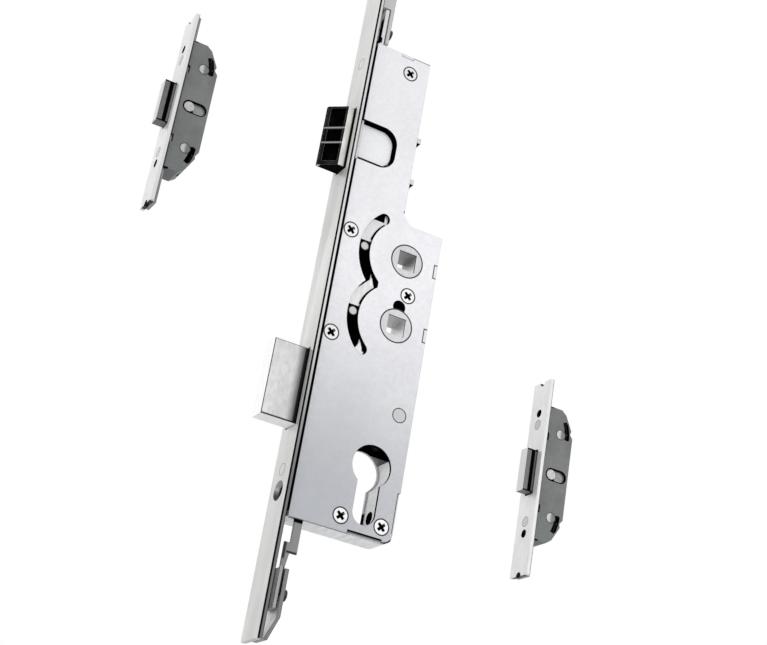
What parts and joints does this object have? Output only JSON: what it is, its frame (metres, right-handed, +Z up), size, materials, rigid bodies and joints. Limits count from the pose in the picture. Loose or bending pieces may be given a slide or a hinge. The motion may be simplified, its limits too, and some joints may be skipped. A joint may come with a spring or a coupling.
{
  "type": "caravan door lock",
  "caption": "Multipoint lock for a caravan or static-home door: centre gearbox with spindle sockets, latch, deadbolt and cylinder hole, with an upper and a lower deadbolt box.",
  "frame": {"origin": "Middle of the centre faceplate's front face, at the height of the upper spindle's axis.", "axes": "+X runs from the faceplate's front into the door edge, +Z is up, and +Y runs across the door's thickness, away from the side with the case's cover."},
  "size_m": [0.2566, 0.136, 0.322],
  "materials": {
    "plate_steel": "brushed, bright",
    "case_steel": "satin plated sheet",
    "box_steel": "dull zinc plated sheet",
    "fastener_steel": "plated, fine turned",
    "spring_steel": "drawn wire",
    "drive_steel": "zinc plated pressing",
    "zinc_casting": "mottled cast zinc alloy",
    "latch_chrome": "polished, chromium plated"
  },
  "bodies": {
    "lock_case": {"faceplate": "plate_steel", "faceplate_rivets": "plate_steel", "case_tray": "case_steel", "case_cover": "case_steel", "cover_posts": "case_steel", "cover_screws": "fastener_steel", "cylinder_screw_block": "case_steel", "key_lever_rivet": "fastener_steel", "latch_lever_stud": "fastener_steel", "latch_spring": "spring_steel", "upper_return_spring": "spring_steel", "lower_return_spring": "spring_steel", "upper_box_faceplate": "plate_steel", "upper_box_tray": "box_steel", "upper_box_cover": "box_steel", "upper_box_case_rivets": "fastener_steel", "upper_box_faceplate_rivets": "plate_steel", "lower_box_faceplate": "plate_steel", "lower_box_tray": "box_steel", "lower_box_cover": "box_steel", "lower_box_case_rivets": "fastener_steel", "lower_box_faceplate_rivets": "plate_steel"},
    "handle_follower": {"upper_follower": "zinc_casting", "upper_arm_pin": "fastener_steel"},
    "second_follower": {"lower_follower": "zinc_casting", "lower_arm_pin": "fastener_steel"},
    "drive": {"drive_slide": "drive_steel", "upper_drive_bar": "drive_steel", "upper_connector": "drive_steel", "lower_connector": "drive_steel", "connector_rivets": "fastener_steel"},
    "latch": {"latch_head": "latch_chrome", "latch_tail": "drive_steel"},
    "latch_crank": {"latch_lever": "drive_steel"},
    "main_deadbolt": {"deadbolt": "zinc_casting"},
    "key_crank": {"key_lever": "drive_steel", "key_lever_pin": "fastener_steel"},
    "upper_rail": {"upper_box_drive_rail": "drive_steel"},
    "lower_rail": {"lower_box_drive_rail": "drive_steel"},
    "upper_bolt": {"upper_box_bolt": "zinc_casting"},
    "lower_bolt": {"lower_box_bolt": "zinc_casting"}
  },
  "joints": [
    {"name": "handle_turn", "type": "hinge", "parent": "lock_case", "child": "handle_follower", "pos_m": [0.035, 0, 0], "axis": [0, 1, 0], "range_deg": [0, 40], "stiffness_Nm_per_rad": 1.5, "springref_deg": -17.19},
    {"name": "second_follower_turn", "type": "hinge", "parent": "lock_case", "child": "second_follower", "pos_m": [0.035, 0, -0.03], "axis": [0, 1, 0], "range_deg": [0, 40]},
    {"name": "drive_lift", "type": "slide", "parent": "lock_case", "child": "drive", "axis": [0, 0, 1], "range_m": [0, 0.01396]},
    {"name": "latch_slide", "type": "slide", "parent": "lock_case", "child": "latch", "axis": [1, 0, 0], "range_m": [0, 0.0095]},
    {"name": "latch_lever_turn", "type": "hinge", "parent": "lock_case", "child": "latch_crank", "pos_m": [0.0223, 0.002, 0.03], "axis": [0, 1, 0], "range_deg": [0, 40]},
    {"name": "deadbolt_slide", "type": "slide", "parent": "lock_case", "child": "main_deadbolt", "axis": [1, 0, 0], "range_m": [0, 0.0146]},
    {"name": "key_lever_turn", "type": "hinge", "parent": "lock_case", "child": "key_crank", "pos_m": [0.0433, 0.003, -0.0676], "axis": [0, 1, 0], "range_deg": [0, 52.58]},
    {"name": "upper_rail_lift", "type": "slide", "parent": "lock_case", "child": "upper_rail", "axis": [0, 0, 1], "range_m": [0, 0.01396]},
    {"name": "lower_rail_lift", "type": "slide", "parent": "lock_case", "child": "lower_rail", "axis": [0, 0, 1], "range_m": [0, 0.01396]},
    {"name": "upper_bolt_slide", "type": "slide", "parent": "lock_case", "child": "upper_bolt", "axis": [1, 0, 0], "range_m": [0, 0.0057]},
    {"name": "lower_bolt_slide", "type": "slide", "parent": "lock_case", "child": "lower_bolt", "axis": [1, 0, 0], "range_m": [0, 0.0057]}
  ],
  "couplings": [
    {"joint": "second_follower_turn", "follows": "handle_turn", "ratio": 1},
    {"joint": "drive_lift", "follows": "handle_turn", "m_per_rad": 0.020001},
    {"joint": "latch_slide", "follows": "handle_turn", "m_per_rad": 0.013608},
    {"joint": "latch_lever_turn", "follows": "handle_turn", "ratio": 1},
    {"joint": "upper_rail_lift", "follows": "handle_turn", "m_per_rad": 0.020001},
    {"joint": "lower_rail_lift", "follows": "handle_turn", "m_per_rad": 0.020001},
    {"joint": "upper_bolt_slide", "follows": "handle_turn", "m_per_rad": 0.0081646},
    {"joint": "lower_bolt_slide", "follows": "handle_turn", "m_per_rad": 0.0081646},
    {"joint": "key_lever_turn", "follows": "deadbolt_slide", "rad_per_m": 62.859}
  ]
}
